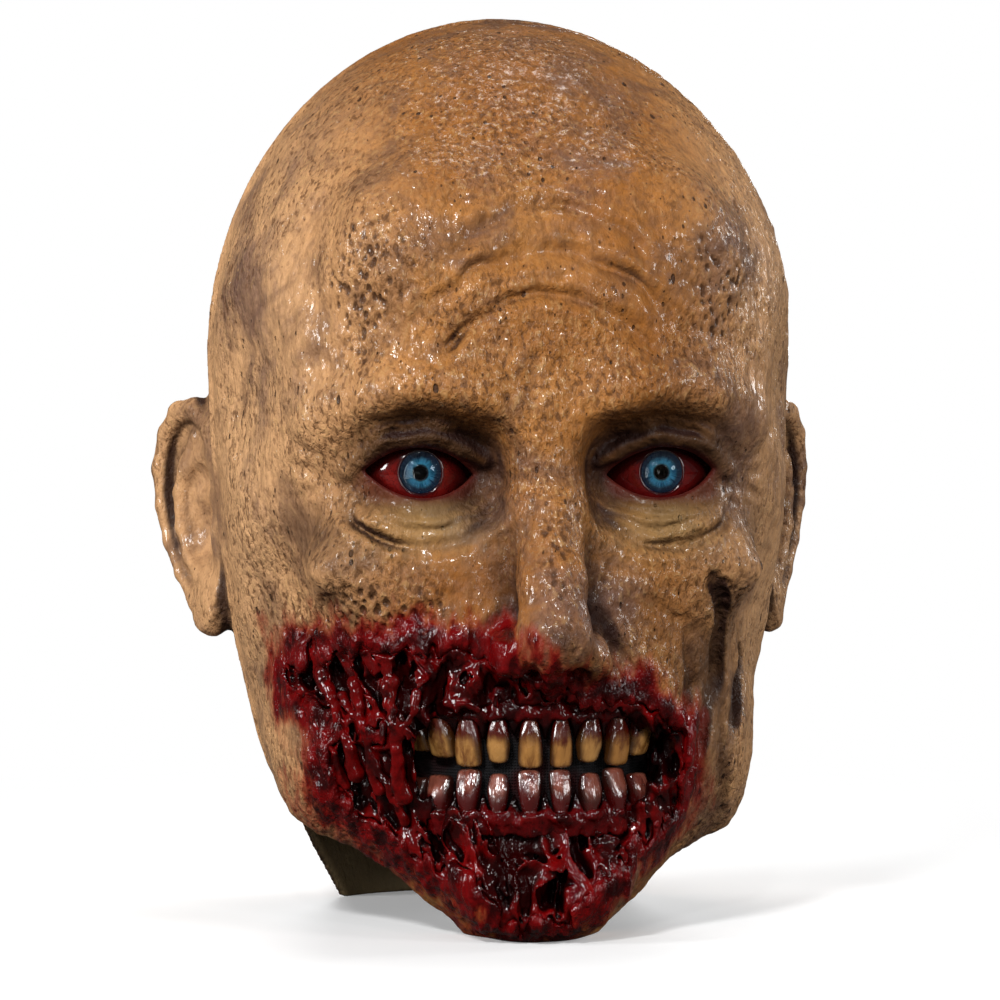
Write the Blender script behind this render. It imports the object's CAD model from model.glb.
"""Looks of a full-head latex zombie mask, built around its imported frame.

Shapes are sculpted as signed distances on grids, in millimetres, and meshed.
The face looks along -Y, +Z is up and the wound is in the cheek on the -X side.
"""
import math

import bpy
import numpy as np
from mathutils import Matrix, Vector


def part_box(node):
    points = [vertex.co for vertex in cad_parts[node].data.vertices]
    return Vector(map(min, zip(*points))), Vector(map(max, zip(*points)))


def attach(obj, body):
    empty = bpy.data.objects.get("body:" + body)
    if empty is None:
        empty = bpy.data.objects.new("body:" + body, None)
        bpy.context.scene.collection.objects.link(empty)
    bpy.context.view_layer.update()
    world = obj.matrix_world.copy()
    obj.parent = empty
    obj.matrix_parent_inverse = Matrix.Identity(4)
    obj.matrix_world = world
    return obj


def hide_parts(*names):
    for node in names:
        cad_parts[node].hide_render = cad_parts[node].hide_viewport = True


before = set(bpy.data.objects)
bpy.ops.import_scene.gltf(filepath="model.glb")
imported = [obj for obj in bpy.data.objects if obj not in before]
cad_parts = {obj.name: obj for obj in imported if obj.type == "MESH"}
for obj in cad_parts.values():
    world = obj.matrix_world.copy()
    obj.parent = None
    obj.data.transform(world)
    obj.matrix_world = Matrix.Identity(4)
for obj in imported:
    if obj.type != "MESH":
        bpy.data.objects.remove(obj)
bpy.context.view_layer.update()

import openvdb
from mathutils import Vector

MM = 0.001
FAR = 60.0

# ---- driving sizes, in millimetres, read from the frame where it holds them ----

HEAD_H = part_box("rear_skin")[1].z / MM
SKULL_HALF_W = 93.0
WIDE_Y = 12.0
FRONT_DEPTH = 113.0
REAR_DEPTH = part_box("rear_skin")[1].y / MM - WIDE_Y
WALL = 3.0
SEAM_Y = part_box("face_skin")[1].y / MM      # the plane where the two skin halves meet
SEAM_GAP = 0.2
EYE_Z = HEAD_H * 0.5
BROW_Z = HEAD_H * 0.575
NOSE_Z = HEAD_H * 0.285
CAP_Z = HEAD_H * 0.625
EYE_X = (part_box("left_iris")[0].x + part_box("left_iris")[1].x) / 2 / MM
EYE_R = (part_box("left_eye_dome")[1].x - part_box("left_eye_dome")[0].x) / 2 / MM
EYE_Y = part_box("left_eye_dome")[1].y / MM
IRIS_R = (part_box("left_iris")[1].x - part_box("left_iris")[0].x) / 2 / MM
DOME_WALL = 1.6
PUPIL_R = 2.2                       # the sight hole in the iris disc
LENS_RISE = 2.35                    # how far the clear cap bulges
ARCH_R = 42.0
ARCH_Y = -49.0
NET_R = 38.7
TOOTH_STEP = math.radians(12.8)     # from one tooth's middle to the next one's
TOOTH_RING, TOOTH_ROWS = 28, 30     # points round a tooth, and steps along it
TOOTH_EXTRA = 0.8                   # a tooth goes that much past its node
GUM_HALF = math.radians(65)         # half the arc that a gum takes
JAW_HALF = math.radians(67)         # half the arc that the flesh leaves to the jaws
UPPER_GUM_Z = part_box("upper_gum")[0].z / MM
LOWER_GUM_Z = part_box("lower_gum")[1].z / MM
SHOULDER_RISE = 38.0
SHOULDER_HALF = 57.0
SHOULDER_Y = -5.0

FACE_PITCH = 0.7
REAR_PITCH = 1.0
FLESH_PITCH = 0.6


# ---- distances ----

def join(a, b, blend):
    """The union of two distance fields, filleted over blend."""
    if blend <= 0:
        return np.minimum(a, b)
    h = np.clip(0.5 + 0.5 * (b - a) / blend, 0, 1)
    return b + (a - b) * h - blend * h * (1 - h)


def cut(a, b, blend):
    """Field a with b taken away, rounded over blend."""
    return -join(-a, b, blend)


def common(a, b, blend):
    """What fields a and b share, rounded over blend."""
    return -join(-a, -b, blend)


def smooth_step(low, high, v):
    t = np.clip((v - low) / (high - low), 0, 1)
    return t * t * (3 - 2 * t)


class Shape:
    """A distance function with the box that holds its surface."""

    def __init__(self, distance, low, high):
        self.distance, self.low, self.high = distance, np.array(low, float), np.array(high, float)

    def mirrored(self):
        low, high = self.low.copy(), self.high.copy()
        low[0], high[0] = -self.high[0], -self.low[0]
        return Shape(lambda x, y, z: self.distance(-x, y, z), low, high)


def ball(centre, radii, turn=0.0):
    """An ellipsoid, turned about Z by that many degrees."""
    c = np.array(centre, np.float32)
    r = np.ones(3, np.float32) * np.array(radii, np.float32)
    cos, sin = math.cos(math.radians(turn)), math.sin(math.radians(turn))

    def distance(x, y, z):
        dx, dy, dz = x - c[0], y - c[1], z - c[2]
        u, v, w = (dx * cos + dy * sin) / r[0], (dy * cos - dx * sin) / r[1], dz / r[2]
        near = np.sqrt(u * u + v * v + w * w)
        slope = np.sqrt((u / r[0]) ** 2 + (v / r[1]) ** 2 + (w / r[2]) ** 2)
        return near * (near - 1) / np.maximum(slope, 1e-6)

    reach = r if turn == 0 else np.array([max(r[0], r[1])] * 2 + [r[2]])
    return Shape(distance, c - reach, c + reach)


def rod(a, b, ra, rb=None):
    """A round bar from a to b whose radius goes from ra to rb."""
    a, b = np.array(a, np.float32), np.array(b, np.float32)
    rb = ra if rb is None else rb
    along = b - a
    length2 = float(along @ along) + 1e-9

    def distance(x, y, z):
        dx, dy, dz = x - a[0], y - a[1], z - a[2]
        t = np.clip((dx * along[0] + dy * along[1] + dz * along[2]) / length2, 0, 1)
        return np.sqrt((dx - t * along[0]) ** 2 + (dy - t * along[1]) ** 2
                       + (dz - t * along[2]) ** 2) - (ra + (rb - ra) * t)

    big = max(ra, rb)
    return Shape(distance, np.minimum(a, b) - big, np.maximum(a, b) + big)


def chain(points, radii, blend=1.5):
    """Rods through a row of points, with one radius or one for each point."""
    radii = list(radii) if hasattr(radii, "__len__") else [radii] * len(points)
    rods = [rod(points[i], points[i + 1], radii[i], radii[i + 1]) for i in range(len(points) - 1)]

    def distance(x, y, z):
        total = rods[0].distance(x, y, z)
        for other in rods[1:]:
            total = join(total, other.distance(x, y, z), blend)
        return total

    return Shape(distance, np.min([r.low for r in rods], 0), np.max([r.high for r in rods], 0))


class Volume:
    """Distances on a grid, negative inside the solid."""

    def __init__(self, low, high, pitch):
        self.low, self.pitch = np.array(low, np.float32), pitch
        self.count = np.ceil((np.array(high) - self.low) / pitch).astype(int) + 1
        axes = [self.low[i] + pitch * np.arange(self.count[i], dtype=np.float32) for i in range(3)]
        self.x, self.y, self.z = axes[0][:, None, None], axes[1][None, :, None], axes[2][None, None, :]
        self.d = np.full(self.count, FAR, np.float32)

    def part(self, low, high):
        """The slices between two corners, with their coordinates."""
        first = np.clip(np.floor((np.array(low) - self.low) / self.pitch).astype(int), 0, self.count)
        last = np.clip(np.ceil((np.array(high) - self.low) / self.pitch).astype(int) + 1, 0, self.count)
        s = tuple(slice(int(a), int(b)) for a, b in zip(first, last))
        return s, self.x[s[0]], self.y[:, s[1]], self.z[:, :, s[2]]

    def change(self, how, shape, blend=0.0, both=False):
        """Joins or cuts a shape in place, on both sides of the face if asked."""
        for each in [shape, shape.mirrored()] if both else [shape]:
            margin = blend + 5
            s, x, y, z = self.part(each.low - margin, each.high + margin)
            if self.d[s].size:
                self.d[s] = how(self.d[s], each.distance(x, y, z), blend)

    def at(self, points):
        """Distances at any points, between the grid's."""
        q = (points - self.low) / self.pitch
        q = np.clip(q, 0, self.count - 1.001)
        i = q.astype(np.int32)
        f = (q - i).astype(np.float32)
        total = 0
        for corner in range(8):
            o = np.array([corner & 1, corner >> 1 & 1, corner >> 2 & 1])
            share = np.prod(np.where(o, f, 1 - f), axis=1)
            j = i + o
            total = total + share * self.d[j[:, 0], j[:, 1], j[:, 2]]
        return total

    def like(self, d):
        """The same grid with other distances."""
        other = Volume.__new__(Volume)
        other.__dict__.update(self.__dict__)
        other.d = d
        return other

    def resample(self, other):
        """Another grid's distances on this one."""
        out = np.empty(tuple(self.count), np.float32)
        for i, x in enumerate(self.x.ravel()):
            y, z = np.broadcast_arrays(self.y[0], self.z[0])
            out[i] = other.at(np.stack([np.full(y.size, x), y.ravel(), z.ravel()], 1)).reshape(y.shape)
        return out

    def front(self, x, z):
        """The foremost Y of the solid at each [x, z], from a grid reached from -Y."""
        found = []
        for px, pz in zip(np.ravel(x), np.ravel(z)):
            line = np.stack([np.full(self.count[1], px), self.y.ravel(), np.full(self.count[1], pz)], 1)
            d = self.at(line)
            i = max(1, int(np.argmax(d < 0)))
            found.append(self.y.ravel()[i] - self.pitch * d[i] / (d[i] - d[i - 1] + 1e-9))
        return np.array(found)

    def mesh(self, d=None):
        """The surface as points in millimetres and quads."""
        band = 3 * self.pitch
        grid = openvdb.FloatGrid(band)
        grid.copyFromArray(np.clip(self.d if d is None else d, -band, band))
        points, quads = grid.convertToQuads(0.0)
        return points * self.pitch + self.low, quads.astype(np.int64)


# ---- noise ----

GRADIENTS = np.array([[1, 1, 0], [-1, 1, 0], [1, -1, 0], [-1, -1, 0], [1, 0, 1], [-1, 0, 1],
                      [1, 0, -1], [-1, 0, -1], [0, 1, 1], [0, -1, 1], [0, 1, -1], [0, -1, -1]],
                     np.float32)


def noise(x, y, z, seed=0):
    """Smooth noise from about -1 to 1, with one swing for each unit of its arguments."""
    x, y, z = np.broadcast_arrays(x, y, z)
    cell = [np.floor(v).astype(np.int64) for v in (x, y, z)]
    f = [(v - c).astype(np.float32) for v, c in zip((x, y, z), cell)]
    ease = [v * v * v * (v * (v * 6 - 15) + 10) for v in f]
    total = np.zeros(x.shape, np.float32)
    for corner in range(8):
        o = (corner & 1, corner >> 1 & 1, corner >> 2 & 1)
        h = ((cell[0] + o[0]) * 73856093) ^ ((cell[1] + o[1]) * 19349663) ^ ((cell[2] + o[2]) * 83492791)
        h = (h ^ (seed * 2654435761)) & 0x7FFFFFFF
        h = (h ^ (h >> 13)) * 1274126177 & 0x7FFFFFFF
        g = GRADIENTS[(h >> 7) % 12]
        dot = g[..., 0] * (f[0] - o[0]) + g[..., 1] * (f[1] - o[1]) + g[..., 2] * (f[2] - o[2])
        share = 1.0
        for axis in range(3):
            share = share * (ease[axis] if o[axis] else 1 - ease[axis])
        total += share * dot
    return total * 1.3


def octaves(x, y, z, seed, count=3, gain=0.5):
    total, size, scale = 0.0, 1.0, 1.0
    for i in range(count):
        total = total + size * noise(x * scale, y * scale, z * scale, seed + i)
        size, scale = size * gain, scale * 2.03
    return total


def spots(x, y, z, seed):
    """Distances to the nearest of scattered points, one in each unit cell, and its own number from 0 to 1."""
    cell = [np.floor(v).astype(np.int64) for v in (x, y, z)]
    best = np.full(len(x), 9.0, np.float32)
    own = np.zeros(len(x), np.float32)
    for i in range(27):
        at = [c + (i // 3 ** axis) % 3 - 1 for axis, c in enumerate(cell)]
        h = (at[0] * 73856093) ^ (at[1] * 19349663) ^ (at[2] * 83492791) ^ (seed * 2654435761)
        parts = []
        for _ in range(4):
            h = (h ^ (h >> 13)) * 1274126177 & 0x7FFFFFFF
            parts.append(((h >> 8) & 0xFFFF).astype(np.float32) / 65535)
        away = np.sqrt(sum((a + part - v) ** 2 for a, part, v in zip(at, parts, (x, y, z))))
        near = away < best
        best = np.where(near, away, best)
        own = np.where(near, parts[3], own)
    return best, own


def mound(u, v, centre, size):
    """1 at a centre and falling off over an oval, in any two coordinates."""
    return np.exp(-(((u - centre[0]) / size[0]) ** 2 + ((v - centre[1]) / size[1]) ** 2))


# ---- the head's own surface ----

FACE_WIDTHS = [(0, 0.30), (0.03, 0.42), (0.09, 0.60), (0.135, 0.715), (0.2, 0.82),
               (0.3, 0.905), (0.44, 0.965), (0.53, 0.99), (0.625, 1)]
NAPE_WIDTHS = [(0, 0.66), (0.09, 0.69)] + FACE_WIDTHS[3:]
FACE_DEPTHS = [(0, 0.81), (0.018, 0.90), (0.042, 0.955), (0.08, 0.97), (0.11, 0.955),
               (0.15, 0.96), (0.19, 0.98), (0.24, 0.98), (0.3, 0.965), (0.4, 0.95),
               (0.5, 0.93), (0.545, 0.96), (0.58, 0.995), (0.625, 1)]
NAPE_DEPTHS = [(0, 0.54), (0.14, 0.60), (0.25, 0.70), (0.35, 0.82), (0.48, 0.95), (0.625, 1)]
FACE_ROUND, BACK_ROUND = 2.3, 2.1


def profile(z, stations, size):
    """A station table as a smooth curve: its value and slope at each height."""
    step = 0.5
    levels = np.arange(-60, HEAD_H + 60, step)
    share, value = np.array(stations).T
    curve = np.interp(levels / HEAD_H, share, value) * size
    kernel = np.exp(-0.5 * (np.arange(-30, 31) * step / 5) ** 2)
    curve = np.convolve(np.pad(curve, 30, "edge"), kernel / kernel.sum(), "valid")
    at = z.ravel()
    return (np.interp(at, levels, curve).astype(np.float32).reshape(z.shape),
            np.interp(at, levels, np.gradient(curve, step)).astype(np.float32).reshape(z.shape))


def head(x, y, z):
    """Distance to the plain head."""
    ahead = y < WIDE_Y
    total = np.empty(np.broadcast_shapes(x.shape, y.shape, z.shape), np.float32)
    rise = np.maximum(0, (z - CAP_Z) / (HEAD_H - CAP_Z))
    halves = ((ahead[0, :, 0], FACE_WIDTHS, FACE_DEPTHS, FRONT_DEPTH, FACE_ROUND),
              (~ahead[0, :, 0], NAPE_WIDTHS, NAPE_DEPTHS, REAR_DEPTH, BACK_ROUND))
    for rows, widths, depths, depth, n in halves:
        w, w_slope = profile(z, widths, SKULL_HALF_W)
        d, d_slope = profile(z, depths, depth)
        dy = y[:, rows] - WIDE_Y
        a = np.abs(x) / w + 1e-6
        b = np.abs(dy) / d + 1e-6
        an, bn = a ** n, b ** n
        s = (an + bn) ** (1 / n)
        whole = np.sqrt(s * s + rise * rise)
        steep = s ** (1 - n)
        sx = steep * an / a / w
        sy = steep * bn / b / d
        sz = -steep * (an * w_slope / w + bn * d_slope / d)
        gz = (s * sz + rise / (HEAD_H - CAP_Z)) / whole
        slope = np.sqrt((s / whole) ** 2 * (sx * sx + sy * sy) + gz * gz)
        total[:, rows] = (whole - 1) / np.maximum(slope, 0.002)
    return total


# ---- the ear, in its own leaning plane: [out, back, up] ----

EAR_AT = (86.0, 16.0, (BROW_Z + NOSE_Z) / 2 + 2)
EAR_LEAN = math.radians(21)


def in_ear(x, y, z):
    """A place in the ear's own plane."""
    dx, dy = x - EAR_AT[0], y - EAR_AT[1]
    out = dx * math.cos(EAR_LEAN) - dy * math.sin(EAR_LEAN)
    back = dx * math.sin(EAR_LEAN) + dy * math.cos(EAR_LEAN)
    return out, back, z - EAR_AT[2]


def ear(x, y, z):
    """Distance to the ear without its hollows."""
    o, b, u = in_ear(x, y, z)
    upper = ball((0, 18, 10), (100, 18, 26)).distance(0, b, u)
    lower = ball((0, 10, -18), (100, 11, 16)).distance(0, b, u)
    outline = join(upper, lower, 10)
    dish = 0.2 + 0.0042 * (b - 16) ** 2 + 0.0012 * (u - 4) ** 2
    plate = np.maximum(np.abs(o - dish) - 2.6, outline)
    body = common(plate, outline, 2)
    helix = [(1, 10, 2), (2, 4, 9), (3, 4, 20), (4, 8, 30), (5, 17, 36.5), (6, 27, 35), (7, 34, 28),
             (7.5, 37, 17), (7, 36.5, 5), (6, 33, -7), (5, 27, -17), (4, 20, -26)]
    radii = [2.2, 2.8, 3.2, 3.4, 3.5, 3.6, 3.6, 3.5, 3.2, 2.9, 2.6, 2.4]
    body = join(body, chain([(p[0] - 1, p[1], p[2]) for p in helix], radii).distance(o, b, u), 2.5)
    inner_fold = [(3.2, 19, 27), (3.8, 24, 19), (4.2, 27, 9), (4, 26, -2), (3.4, 22, -11), (3, 16, -16)]
    body = join(body, chain(inner_fold, [1.8, 2.6, 3.1, 3.1, 2.8, 2.8]).distance(o, b, u), 3)
    fork = [(2.6, 9, 23), (3.0, 16, 21), (3.8, 24, 16)]
    body = join(body, chain(fork, [1.6, 2.0, 2.6]).distance(o, b, u), 3)
    body = join(body, ball((2, 9, -27), (4, 9, 9.5)).distance(o, b, u), 6)
    body = join(body, ball((1.5, 2, -4), (4, 4.5, 7)).distance(o, b, u), 3)
    return body


def ear_bowl(x, y, z):
    """The ear's hollows: the bowl, its upper end and the mouth of the canal."""
    place = in_ear(x, y, z)
    bowl = ball((6.6, 13.5, -2), (7.4, 8.5, 11.5)).distance(*place)
    upper = ball((6.0, 13, 13), (4.8, 7, 5)).distance(*place)
    canal = ball((3.2, 9.5, -5), (4.2, 4.2, 5.5)).distance(*place)
    return join(join(bowl, upper, 2), canal, 2)


def ear_shape(distance):
    return Shape(distance, (78, 5, EAR_AT[2] - 42), (112, 62, EAR_AT[2] + 46))


# ---- creases, drawn on the front of the face as lines of [x, z] ----

def arc(centre, radii, start, end, count=9):
    turns = np.radians(np.linspace(start, end, count))
    return [(centre[0] + radii[0] * math.cos(t), centre[1] + radii[1] * math.sin(t)) for t in turns]


def crease_lines():
    """Each crease on the +X side as (points, half width, depth). The other side mirrors them."""
    lines = []
    for z, half, depth in ((193, 46, 1.7), (206, 52, 2.0), (220, 46, 1.6)):
        lines.append((arc((0, z - 60), (half, 60 + 3), 44, 90), 2.1, depth))
    lines.append(([(6, 157), (6.5, 167), (5, 177)], 1.7, 0.9))
    for end_z in (155, 145, 134):
        lines.append(([(EYE_X + 27, EYE_Z - 1 + (end_z - 145) * 0.25), (EYE_X + 40, end_z)], 1.3, 0.8))
    lines.append((arc((EYE_X, EYE_Z - 2), (25, 21), 205, 335), 1.8, 1.5))
    lines.append((arc((EYE_X - 1, EYE_Z - 1), (23, 16.5), 215, 320), 1.3, 1.0))
    lines.append((arc((EYE_X - 2, EYE_Z), (21, 13), 225, 300), 1.0, 0.7))
    lines.append((arc((EYE_X, EYE_Z + 1), (20, 12.5), 35, 150), 1.3, 1.2))
    lines.append(([(15, 96), (23, 86), (32, 75), (38, 63), (40, 50)], 2.6, 2.0))
    lines.append(([(28, 104), (40, 99), (50, 92)], 2.0, 0.8))
    return lines


def line_distance(x, z, points):
    best = np.full(np.broadcast_shapes(x.shape, z.shape), 1e3, np.float32)
    for (ax, az), (bx, bz) in zip(points[:-1], points[1:]):
        ux, uz = bx - ax, bz - az
        t = np.clip(((x - ax) * ux + (z - az) * uz) / (ux * ux + uz * uz), 0, 1)
        best = np.minimum(best, np.hypot(x - ax - t * ux, z - az - t * uz))
    return best


def crease_depth(x, z):
    """How far the front of the face is pushed in by its creases."""
    warp_x = x + 1.6 * noise(x / 11, 0, z / 11, 31)
    warp_z = z + 1.6 * noise(x / 11, 0, z / 11, 32)
    strength = 0.75 + 0.5 * noise(x / 16, 0, z / 16, 33)
    total = 0
    for points, half, depth in crease_lines():
        mirrored = [(-px, pz) for px, pz in points]
        r = np.minimum(line_distance(warp_x, warp_z, points), line_distance(warp_x, warp_z, mirrored)) / half
        # it fades out towards its ends, but not where it meets its mirror image
        to_end = np.minimum.reduce([np.hypot(np.abs(warp_x) - px, warp_z - pz)
                                    for px, pz in (points[0], points[-1]) if abs(px) > 1])
        fade = 0.2 + 0.8 * smooth_step(0, 9, to_end)
        total = total + depth * fade * (np.exp(-r * r) - 0.4 * np.exp(-((r - 2.1) / 0.9) ** 2))
    return np.minimum(total * strength, 1.8)


# ---- the wound, as seen from the front ----

def wound(x, z, rag=1.0):
    """Distance to the torn outline in the XZ plane, negative in the opening."""
    lobes = [((-63, 79), 8, (-25, 73), 16), ((-24, 58), 20, (24, 53), 19),
             ((-48, 50), 13, (-8, 27), 15), ((24, 46), 15, (3, 25), 12), ((-4, 24), 7, (-7, 10), 5)]
    total = None
    for a, ra, b, rb in lobes:
        ux, uz = b[0] - a[0], b[1] - a[1]
        t = np.clip(((x - a[0]) * ux + (z - a[1]) * uz) / (ux * ux + uz * uz), 0, 1)
        d = np.hypot(x - a[0] - t * ux, z - a[1] - t * uz) - (ra + (rb - ra) * t)
        total = d if total is None else join(total, d, 8)
    if rag:
        fingers = noise(x / 3.4, 0, z / 17, 41)
        tears = noise(x / 9, 0, z / 9, 42)
        fine = noise(x / 2.2, 0, z / 4, 43)
        total = total + rag * (3.6 * fingers + 3.6 * tears + 1.2 * fine)
    return total


# ---- the skin ----

def eye_shapes():
    """The space of the eye dome and the almond opening in front of it."""
    dome = ball((EYE_X, EYE_Y, EYE_Z), EYE_R + 0.4)
    half_w, half_h = 16.5, 7.6
    r = (half_w ** 2 + half_h ** 2) / (2 * half_h)

    def almond(x, y, z):
        dx, dz = x - EYE_X, z - EYE_Z - 0.04 * (x - EYE_X)
        lens = np.maximum(np.hypot(dx, dz - half_h + r), np.hypot(dx, dz - r + half_h)) - r
        return np.maximum(lens, y - EYE_Y + 4)

    opening = Shape(almond, (EYE_X - half_w, EYE_Y - 60, EYE_Z - half_h),
                    (EYE_X + half_w, EYE_Y - 4, EYE_Z + half_h))
    return dome, opening


def furrow_cheek(v):
    """Deep furrows in the cheeks, from lines of [x, z], their radii and how deep they sink."""
    furrows = (([(53, 110), (57, 96), (57, 80), (53, 64), (46, 48)], [1.0, 2.8, 3.6, 2.8, 1.0], 1.8),
               ([(67, 97), (69, 83), (66, 66)], [1.0, 2.4, 1.0], 1.0),
               ([(45, 92), (48, 77), (44, 62)], [1.0, 2.0, 1.0], 0.8),
               ([(-64, 104), (-69, 92)], [1.0, 1.6], 0.6))
    for line, radii, sink in furrows:
        sinks = sink * np.sin(np.linspace(0.15, math.pi - 0.15, len(line)))
        ys = v.front(*np.transpose(line)) + sinks
        v.change(cut, chain([(q[0], fy, q[1]) for q, fy in zip(line, ys)], radii, 3), 4)


def fold_cheek(v):
    """Long upright folds in the +X cheek, which the wound leaves whole."""
    s, x, y, z = v.part((30, -110, 20), (85, -30, 118))
    fade = smooth_step(34, 46, x) * smooth_step(84, 70, x) * smooth_step(24, 44, z) * smooth_step(114, 92, z)
    v.d[s] += 1.7 * (noise(x / 5.5, 0, z / 34, 51) + 0.2) * fade * smooth_step(-30, -50, y)


def roll_nape(v):
    """Rolls across the nape, at three heights."""
    for height, depth in ((63, 1.8), (45, 2.6), (28, 1.8)):
        s, x, y, z = v.part((-75, 20, height - 14), (75, 120, height + 14))
        if v.d[s].size:
            line = z - height - 0.0012 * x * x + 3 * noise(x / 30, 0, height, 5)
            v.d[s] += depth * np.exp(-(line / 3) ** 2) * smooth_step(30, 60, y)


def sculpt_head(near, far, pitch):
    """Two fields between two Y levels: the outer surface without its holes, and the hollow inside."""
    v = Volume((-113, near, -6), (113, far, HEAD_H + 4), pitch)
    v.d[:] = head(v.x, v.y, v.z)
    add, take = join, cut
    # forehead, temples, brow ridge
    v.change(add, ball((30, -77, 210), (30, 18, 26)), 16, both=True)
    v.change(take, ball((97, -48, 168), (14, 34, 26)), 18, both=True)
    v.change(add, chain([(8, -91, 160), (26, -93, 164), (46, -86, 166), (63, -68, 158)],
                        [8, 10.5, 10.5, 7], 4), 12, both=True)
    # sockets and cheekbones
    v.change(take, ball((EYE_X + 0.5, -102, EYE_Z - 1), (27, 26, 20)), 9, both=True)
    v.change(take, ball((19, -98, EYE_Z), (11, 15, 13)), 8, both=True)
    v.change(add, ball((52, -67, 112), (24, 15, 12), -30), 20, both=True)
    v.change(take, ball((88, -64, 76), (12, 30, 34)), 34, both=True)
    # jaw and chin
    v.change(add, ball((60, -26, 52), (10, 24, 20)), 24, both=True)
    v.change(add, ball((0, -86, 17), (24, 13, 14)), 12)
    v.change(take, ball((0, -109, 36), (24, 10, 6)), 10)
    # nose
    v.change(add, chain([(0, -88, 154), (0, -98, 132), (0, -107, 110), (0, -112, 97)],
                        [9, 9.0, 9.5, 10], 4), 13)
    v.change(add, ball((0, -113.2, 92), (10, 10, 8.5)), 6)
    v.change(add, ball((12, -101, 88), (7, 11, 7.5)), 5, both=True)
    v.change(add, rod((0, -108, 84), (0, -98, 80), 4), 4)
    v.change(take, rod((7.5, -110, 78), (8, -102, 89), 3.2, 3.0), 2.5, both=True)
    if near < -FRONT_DEPTH:
        furrow_cheek(v)
    fold_cheek(v)
    roll_nape(v)
    hollow = v.d + WALL
    # eyelids over the eye domes, and the bags under them
    v.change(add, ball((EYE_X, EYE_Y, EYE_Z), EYE_R + 3.4), 3.5, both=True)
    v.change(add, ball((EYE_X - 1, -80, EYE_Z - 15), (19.5, 9.5, 8)), 4, both=True)
    v.change(add, chain([(EYE_X - 19, -84, EYE_Z + 4), (EYE_X - 4, -88, EYE_Z + 12.5),
                         (EYE_X + 12, -85, EYE_Z + 10.5), (EYE_X + 21, -76, EYE_Z + 1)],
                        [2.0, 3.4, 3.4, 2.0], 3), 4, both=True)
    # ears
    v.change(add, ear_shape(ear), 4.5, both=True)
    v.change(take, ear_shape(ear_bowl), 2.0, both=True)
    # the moulding seam
    v.d -= 1.3 * np.exp(-((v.y - SEAM_Y - 0.1) / 2.6) ** 2)
    # creases of the face
    s, x, y, z = v.part((-95, -128, 20), (95, -10, 240))
    v.d[s] += crease_depth(x, z) * smooth_step(-20, -50, y)
    return v, hollow


def shoulder_arch(y, z):
    """Distance to the round arches over the shoulders, the same for every X."""
    r = (SHOULDER_HALF ** 2 + SHOULDER_RISE ** 2) / (2 * SHOULDER_RISE)
    return np.hypot(y - SHOULDER_Y, z - SHOULDER_RISE + r) - r


def mesh_object(name, points, faces, smooth=True):
    """A mesh object from points in millimetres."""
    mesh = bpy.data.meshes.new(name)
    points = np.asarray(points, np.float32) * MM
    faces = np.asarray(faces)
    mesh.vertices.add(len(points))
    mesh.vertices.foreach_set("co", points.ravel())
    mesh.loops.add(faces.size)
    mesh.loops.foreach_set("vertex_index", faces.ravel().astype(np.int32))
    mesh.polygons.add(len(faces))
    mesh.polygons.foreach_set("loop_start", np.arange(0, faces.size, faces.shape[1], dtype=np.int32))
    mesh.polygons.foreach_set("use_smooth", np.full(len(faces), smooth))
    mesh.update(calc_edges=True)
    mesh.validate()
    thing = bpy.data.objects.new(name, mesh)
    bpy.context.scene.collection.objects.link(thing)
    return thing


def point_normals(points, quads):
    """Normals at the points, as the mean of the faces around each."""
    p = points[quads]
    n = np.cross(p[:, 2] - p[:, 0], p[:, 3] - p[:, 1])
    total = np.stack([np.bincount(quads.ravel(), np.repeat(n[:, i], 4), len(points)) for i in range(3)], 1)
    return total / np.maximum(np.linalg.norm(total, axis=1, keepdims=True), 1e-9)


def without_crumbs(points, quads, least=400):
    """The surface without connected pieces of fewer points than least."""
    label = np.arange(len(points))
    while True:
        low = label[quads].min(1)
        new = label.copy()
        np.minimum.at(new, quads.ravel(), np.repeat(low, 4))
        new = new[new]
        if (new == label).all():
            break
        label = new
    keep = np.bincount(label, minlength=len(points))[label] >= least
    index = np.cumsum(keep) - 1
    quads = quads[keep[quads].all(1)]
    return points[keep], index[quads]


def set_values(thing, **values):
    """Stores one number a point under each name, for the materials."""
    for name, v in values.items():
        attribute = thing.data.attributes.new(name, "FLOAT", "POINT")
        attribute.data.foreach_set("value", np.asarray(v, np.float32))


def openness(volume, points, normals, steps=(2.5, 5, 10, 18)):
    """How open the surface is around each point: 1 on a flat or round face, 0 deep in a hollow."""
    total = 0
    for t in steps:
        total = total + np.clip(volume.at(points + normals * t) / t, 0, 1.1)
    return total / len(steps)


def pits(x, y, z):
    """Depths of pores and craters: a few all over, and spongy patches by the wound and the temples."""
    patch = noise(x / 21, y / 21, z / 21, 21)
    away, own = spots(x / 3.6, y / 3.6, z / 5.2, 1)
    size = 0.12 + 0.15 * own
    bowl = np.clip(1 - (away / size) ** 2, 0, 1)
    depth = 0.60 * (own * own + 0.30) * bowl * smooth_step(-0.30, 0.25, patch)
    thick = (mound(x, z, (-52, 99), (24, 13)) + 0.7 * mound(x, z, (62, 106), (14, 14))
             + 0.8 * mound(x, z, (0, 116), (7, 22)) + 0.7 * mound(np.abs(x), z, (52, 196), (20, 26)))
    spongy = np.clip(thick * 1.5 * smooth_step(0, -40, y) - 0.25 + 0.5 * patch, 0, 1)
    away, own = spots(x / 2.1, y / 2.1, z / 2.9, 2)
    size = 0.28 + 0.42 * own
    craters = (0.35 + own) * np.clip(1 - (away / size) ** 2, 0, 1) * spongy
    return np.maximum(depth, craters), spongy


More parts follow.
